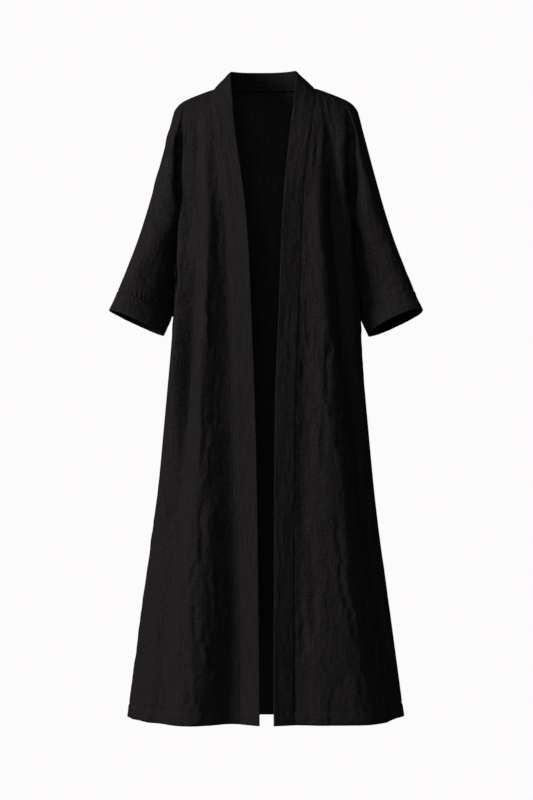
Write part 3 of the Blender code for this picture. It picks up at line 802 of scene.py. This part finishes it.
def band_rise(sheet, node, sewing, seed):
    """Rise of a front band: it stands above the panel, dips into its seam and carries the hem's stitches."""
    width = FLAT_CUTS["band"].width
    from_seam = sheet.flat[:, 0]
    hem = sheet.distance_to(sheet.hem_points)
    from_edge = width - from_seam
    rise = sewing.band_rise * ease(from_seam / BAND_SEAM_SLOPE) * ease(0.5 + from_edge / BAND_EDGE_SLOPE)
    ends = ease(from_seam / BAND_EDGE_HOLD) * ease(from_edge / BAND_EDGE_HOLD)
    from_neck = np.abs(sheet.places[:, 0]) + np.clip(-sheet.places[:, 2], 0.0, None)
    loose = BAND_EDGE_SHARE + (1.0 - BAND_EDGE_SHARE) * ends
    loose *= ease(from_seam / BAND_SEAM_HOLD) * ease(from_neck / NECK_HOLD)
    rise += CRINKLE_SHARES["band"] * crinkle_rise(sheet.flat, seed) * loose
    add_creases(rise, sheet.places, node, ends)
    gather = BAND_RIPPLE_HEIGHT + NECK_RIPPLE_HEIGHT * bell(from_neck, NECK_GATHER)
    gather *= bell(from_seam - RIPPLE_PLACE, BAND_RIPPLE_WIDTH)
    rise += gather * uneven(sheet.flat[:, 1], from_seam, BAND_RIPPLE, seed + 5)
    rise += hem_rise(from_seam, hem, sewing, seed + 11)
    sheet.store_map("sewing", from_seam, hem)
    return rise


def cuff_rise(sheet, sewing, seed):
    """Rise of a cuff: it stands above the sleeve and is gathered into its seam."""
    seam = sheet.distance_to(sheet.seam_where(on_cuff_seam))
    free = sheet.distance_to(sheet.seam_where(lambda places: ~on_cuff_seam(places)))
    run = sheet.flat[:, 0]
    rise = sewing.band_rise * ease(seam / BAND_SEAM_SLOPE)
    rise += CUFF_PUCKER_SHARE * pucker_rise(run, seam, sewing, seed + 12) * ease(seam / PUCKER_EDGE_HOLD)
    rise += CRINKLE_SHARES["cuff"] * crinkle_rise(sheet.flat, seed) * ease(seam / BAND_SEAM_HOLD)
    sheet.store_map("sewing", run, free)
    return rise


def new_group(name, inputs, output):
    """Empty shader node group with named sockets, and its two ends."""
    group = bpy.data.node_groups.new(name, "ShaderNodeTree")
    for socket in inputs:
        kind = "NodeSocketVector" if socket == "Vector" else "NodeSocketFloat"
        group.interface.new_socket(socket, in_out="INPUT", socket_type=kind)
    group.interface.new_socket(output, in_out="OUTPUT", socket_type="NodeSocketFloat")
    start = group.nodes.new("NodeGroupInput")
    end = group.nodes.new("NodeGroupOutput")
    return group, start, end


def feed(tree, node, values):
    """Give a node's inputs links or values of their own."""
    for name, value in values.items():
        if isinstance(value, bpy.types.NodeSocket):
            tree.links.new(value, node.inputs[name])
        else:
            node.inputs[name].default_value = value


def add_node(tree, kind, values):
    """New shader node with links or values for its inputs."""
    node = tree.nodes.new("ShaderNode" + kind)
    feed(tree, node, values)
    return node


def calculate(tree, operation, *values):
    """Math node on values or sockets, and its result."""
    node = add_node(tree, "Math", dict(enumerate(values)))
    node.operation = operation
    return node.outputs["Value"]


def weave_group():
    """Plain weave: threads that pass over and under each other."""
    group, start, end = new_group("Linen Weave", ("Vector", "Pitch"), "Height")
    split = add_node(group, "SeparateXYZ", {"Vector": start.outputs["Vector"]})
    waves = []
    for axis in ("X", "Y"):
        turns = calculate(group, "DIVIDE", split.outputs[axis], start.outputs["Pitch"])
        waves.append(calculate(group, "SINE", calculate(group, "MULTIPLY", turns, math.pi)))
    crossing = calculate(group, "MULTIPLY", *waves)
    feed(group, end, {"Height": calculate(group, "MULTIPLY_ADD", crossing, 0.5, 0.5)})
    return group


def slub_group():
    """Thick and thin threads: long uneven streaks over the cloth."""
    group, start, end = new_group("Linen Slub", ("Vector", "Across", "Along"), "Tone")
    split = add_node(group, "SeparateXYZ", {"Vector": start.outputs["Vector"]})
    join = add_node(group, "CombineXYZ", {
        axis: calculate(group, "DIVIDE", split.outputs[axis], start.outputs[size])
        for axis, size in (("X", "Across"), ("Y", "Along"))})
    noise = add_node(group, "TexNoise", {
        "Vector": join.outputs["Vector"], "Scale": 1.0, "Detail": SLUB_DETAIL, "Roughness": SLUB_ROUGHNESS})
    feed(group, end, {"Tone": noise.outputs["Fac"]})
    return group


def stitch_group():
    """One row of stitches at a distance from an edge."""
    group, start, end = new_group(
        "Row of Stitches", ("Run", "Distance", "Place", "Length", "Width"), "Mask")
    turns = calculate(group, "DIVIDE", start.outputs["Run"], start.outputs["Length"])
    on_thread = calculate(group, "LESS_THAN", calculate(group, "FRACT", turns), STITCH_SHARE)
    off_line = calculate(group, "SUBTRACT", start.outputs["Distance"], start.outputs["Place"])
    half_width = calculate(group, "MULTIPLY", start.outputs["Width"], 0.5)
    in_row = calculate(group, "LESS_THAN", calculate(group, "ABSOLUTE", off_line), half_width)
    feed(group, end, {"Mask": calculate(group, "MULTIPLY", on_thread, in_row)})
    return group


def place_group(tree, name, build, values):
    """Put a group, built the first time it is asked for, into a material, and give its result."""
    node = tree.nodes.new("ShaderNodeGroup")
    node.node_tree = bpy.data.node_groups.get(name) or build()
    feed(tree, node, values)
    return node.outputs[0]


def new_material(name):
    """New material, its nodes and its shader."""
    material = bpy.data.materials.new(name)
    material.use_nodes = True
    return material, material.node_tree, material.node_tree.nodes["Principled BSDF"]


def map_socket(tree, name):
    """Output of one of the cloth's own maps."""
    node = tree.nodes.new("ShaderNodeUVMap")
    node.uv_map = name
    return node.outputs["UV"]


def slub_tone(tree, lay, layer):
    """Tone of one layer of slubs."""
    return place_group(
        tree, "Linen Slub", slub_group, {"Vector": lay, "Across": layer.across, "Along": layer.along})


def stitch_mask(tree, sewing, place):
    """Mask of one row of stitches at a distance from the edge."""
    split = add_node(tree, "SeparateXYZ", {"Vector": map_socket(tree, "sewing")})
    return place_group(tree, "Row of Stitches", stitch_group, {
        "Run": split.outputs["X"], "Distance": split.outputs["Y"], "Place": place,
        "Length": sewing.stitch_length, "Width": sewing.thread_width})


def weighted_sum(tree, terms):
    """Sum of sockets, each times its weight."""
    total = 0.0
    for socket, weight in terms:
        total = calculate(tree, "ADD", calculate(tree, "MULTIPLY", socket, weight), total)
    return total


def thread_colour(tree, cloth, mottle, stitches, slub_share):
    """Colour between the dark and the light threads, by the mottle and the stitches."""
    spread = TONE_SPREAD / slub_share
    tone = add_node(tree, "MapRange", {"Value": mottle, "From Min": 0.5 - spread, "From Max": 0.5 + spread})
    stitch_tone = calculate(tree, "MULTIPLY", stitches, STITCH_TONE)
    colour = tree.nodes.new("ShaderNodeMix")
    colour.data_type = "RGBA"
    feed(tree, colour, {
        "Factor": calculate(tree, "ADD", tone.outputs["Result"], stitch_tone),
        "A": (*cloth.dark, 1.0), "B": (*cloth.light, 1.0)})
    return colour.outputs["Result"]


def linen_material(name, cloth, sewing, stitch_place, slub_share):
    """Matte black linen with weave, slubs, crinkled grain and one row of stitches."""
    material, tree, shader = new_material(name)
    lay = map_socket(tree, "flat")
    weave = place_group(tree, "Linen Weave", weave_group, {"Vector": lay, "Pitch": cloth.pitch})
    tones = [(slub_tone(tree, lay, layer), layer) for layer in (WARP, WEFT, GRAIN)]
    rumple = slub_tone(tree, lay, RUMPLE)
    stitches = stitch_mask(tree, sewing, stitch_place)
    mottle = weighted_sum(tree, [(tone, layer.tone) for tone, layer in tones])
    heights = [(weave, WEAVE_HEIGHT)]
    heights += [(tone, layer.height) for tone, layer in tones]
    heights += [(rumple, RUMPLE.height * slub_share), (stitches, STITCH_HEIGHT)]
    bump = add_node(tree, "Bump", {"Height": weighted_sum(tree, heights), "Strength": 1.0, "Distance": 1.0})
    feed(tree, shader, {
        "Base Color": thread_colour(tree, cloth, mottle, stitches, slub_share),
        "Normal": bump.outputs["Normal"], "Roughness": cloth.roughness, "Specular IOR Level": SPECULAR,
        "Sheen Weight": cloth.sheen, "Sheen Roughness": SHEEN_ROUGHNESS})
    return material


def add_cloth(node, data, thickness, material):
    """Put a finished sheet into the scene in place of its solid."""
    data.materials.clear()
    data.materials.append(material)
    data.shade_smooth()
    piece = new_object("cloth_" + node, data)
    wall = piece.modifiers.new("Cloth thickness", "SOLIDIFY")
    wall.thickness = thickness
    wall.offset = -1.0
    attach(piece, BODY_NAME)
    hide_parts(node)


def node_centre(node):
    """Middle of a node's box."""
    low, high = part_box(node)
    return (Vector(low) + Vector(high)) * 0.5


class JACKET_OT_panels(bpy.types.Operator):
    """Make the fronts and backs, each cut in one with its half of the sleeve"""

    bl_idname = "jacket.panels"
    bl_label = "Fronts and Backs"

    def execute(self, context):
        cloth = context.scene.jacket_cloth
        sewing = context.scene.jacket_sewing
        material = linen_material("black_linen", cloth, sewing, sewing.hem_height, PANEL_SLUBS)
        for seed, node in enumerate(("front_left", "front_right", "back_left", "back_right")):
            mesh = outer_cloth(node, PANEL_WALL, Vector())
            lay_flat(mesh, panel_lay(mesh))
            sheet = Sheet(fine_mesh(mesh, "cloth_" + node, cloth.levels))
            taut = sheet.distance_to(sheet.seam_where(lambda places: ~on_band_seam(places)))
            rise = panel_rise(sheet, node, taut, sewing, 100 * (seed + 1))
            sheet.fold(node, ease(taut / FOLD_EDGE_HOLD))
            sheet.places = pinched(sheet.places)
            sheet.level_neck(node)
            sheet.move(rise)
            add_cloth(node, sheet.data, cloth.thickness, material)
        return {"FINISHED"}


class JACKET_OT_bands(bpy.types.Operator):
    """Make the two halves of the band round the front opening and the neck"""

    bl_idname = "jacket.bands"
    bl_label = "Front Bands"

    def execute(self, context):
        cloth = context.scene.jacket_cloth
        sewing = context.scene.jacket_sewing
        material = linen_material("band_linen", cloth, sewing, sewing.hem_height, BAND_SLUBS)
        for seed, node in enumerate(("band_left", "band_right")):
            mesh = outer_cloth(node, DOUBLED_WALL, Vector())
            lay_flat(mesh, band_lay(mesh, FLAT_CUTS["band"].width))
            sheet = Sheet(fine_mesh(mesh, "cloth_" + node, cloth.levels))
            rise = band_rise(sheet, node, sewing, 100 * (seed + 5))
            sheet.fold(node.replace("band", "front"), 1.0)
            sheet.level_neck(node)
            sheet.move(rise)
            add_cloth(node, sheet.data, cloth.doubled_thickness, material)
        return {"FINISHED"}


class JACKET_OT_cuffs(bpy.types.Operator):
    """Make the two deep cuffs"""

    bl_idname = "jacket.cuffs"
    bl_label = "Cuffs"

    def execute(self, context):
        cloth = context.scene.jacket_cloth
        sewing = context.scene.jacket_sewing
        material = linen_material("cuff_linen", cloth, sewing, CUFF_STITCH_PLACE, CUFF_SLUBS)
        for seed, node in enumerate(("cuff_left", "cuff_right")):
            centre = node_centre(node)
            mesh = outer_cloth(node, DOUBLED_WALL, centre)
            lay_cuff_flat(mesh, centre)
            sheet = Sheet(fine_mesh(mesh, "cloth_" + node, cloth.levels))
            sheet.move(cuff_rise(sheet, sewing, 100 * (seed + 7)))
            add_cloth(node, sheet.data, cloth.doubled_thickness, material)
        return {"FINISHED"}


def add_floor(stage):
    """Pale round floor under the jacket."""
    mesh = bmesh.new()
    bmesh.ops.create_circle(mesh, cap_ends=True, segments=FLOOR_SIDES, radius=stage.floor_radius)
    bmesh.ops.translate(mesh, verts=mesh.verts[:], vec=(0.0, 0.0, stage.floor_height))
    data = bpy.data.meshes.new("floor")
    mesh.to_mesh(data)
    mesh.free()
    material, tree, shader = new_material("pale_floor")
    path = tree.nodes.new("ShaderNodeLightPath")
    feed(tree, shader, {
        "Base Color": (*stage.floor_colour, 1.0), "Roughness": 1.0, "Emission Color": WHITE,
        "Emission Strength": calculate(tree, "MULTIPLY", path.outputs["Is Camera Ray"], stage.floor_glow)})
    data.materials.append(material)
    floor = new_object("floor", data)


def add_world(stage):
    """Pale backdrop all round, which gives only a weak even light."""
    world = bpy.data.worlds.new("studio")
    world.use_nodes = True
    tree = world.node_tree
    even = tree.nodes["Background"]
    feed(tree, even, {"Color": WHITE, "Strength": stage.sky})
    seen = add_node(tree, "Background", {"Color": (*stage.backdrop, 1.0)})
    path = tree.nodes.new("ShaderNodeLightPath")
    choose = add_node(tree, "MixShader", {
        "Fac": path.outputs["Is Camera Ray"], 1: even.outputs["Background"], 2: seen.outputs["Background"]})
    feed(tree, tree.nodes["World Output"], {"Surface": choose.outputs["Shader"]})
    bpy.context.scene.world = world


def add_light(name, place, size, power):
    """Square soft light at a place, turned to the jacket."""
    lamp = bpy.data.lights.new(name, "AREA")
    lamp.shape = "SQUARE"
    lamp.size = size
    lamp.energy = power
    light = new_object(name, lamp)
    light.location = place
    light.rotation_euler = (Vector(LIGHT_AIM) - Vector(place)).to_track_quat("-Z", "Y").to_euler()


def add_camera(stage):
    """Level camera straight in front."""
    lens = bpy.data.cameras.new("photo_camera")
    lens.lens = stage.camera_lens
    camera = new_object("photo_camera", lens)
    camera.location = (CAMERA_SIDE, -stage.camera_distance, stage.camera_height)
    camera.rotation_euler = (0.5 * math.pi, 0.0, 0.0)
    bpy.context.scene.camera = camera


class JACKET_OT_stage(bpy.types.Operator):
    """Set the pale floor, the soft lights and the camera"""

    bl_idname = "jacket.stage"
    bl_label = "Studio"

    def execute(self, context):
        stage = context.scene.jacket_stage
        add_floor(stage)
        add_world(stage)
        add_light("key", KEY_PLACE, KEY_SIZE, stage.key_power)
        add_light("front", FRONT_PLACE, SOFT_SIZE, stage.front_power)
        add_light("back", BACK_PLACE, SOFT_SIZE, stage.back_power)
        context.scene.view_settings.view_transform = "Standard"
        add_camera(stage)
        return {"FINISHED"}


class JACKET_PT_sidebar(bpy.types.Panel):
    """Lists the jacket's sizes and steps"""

    bl_idname = "JACKET_PT_sidebar"
    bl_label = "Linen Jacket"
    bl_space_type = "VIEW_3D"
    bl_region_type = "UI"
    bl_category = "Jacket"

    def draw(self, context):
        scene = context.scene
        for group in (scene.jacket_cloth, scene.jacket_sewing, scene.jacket_stage):
            box = self.layout.box()
            for name in group.__annotations__:
                box.prop(group, name)
        for operator in OPERATORS:
            self.layout.operator(operator.bl_idname)


GROUPS = (JacketCloth, JacketSewing, JacketStage)
OPERATORS = (JACKET_OT_panels, JACKET_OT_bands, JACKET_OT_cuffs, JACKET_OT_stage)
CLASSES = GROUPS + OPERATORS + (JACKET_PT_sidebar,)


def register():
    """Make the classes and the scene's settings known."""
    for item in CLASSES:
        bpy.utils.register_class(item)
    bpy.types.Scene.jacket_cloth = PointerProperty(type=JacketCloth)
    bpy.types.Scene.jacket_sewing = PointerProperty(type=JacketSewing)
    bpy.types.Scene.jacket_stage = PointerProperty(type=JacketStage)


def unregister():
    """Take the scene's settings and the classes away again."""
    del bpy.types.Scene.jacket_stage
    del bpy.types.Scene.jacket_sewing
    del bpy.types.Scene.jacket_cloth
    for item in reversed(CLASSES):
        bpy.utils.unregister_class(item)


def main():
    """Build the jacket and its studio."""
    register()
    bpy.ops.jacket.panels()
    bpy.ops.jacket.bands()
    bpy.ops.jacket.cuffs()
    bpy.ops.jacket.stage()


if __name__ == "__main__":
    main()
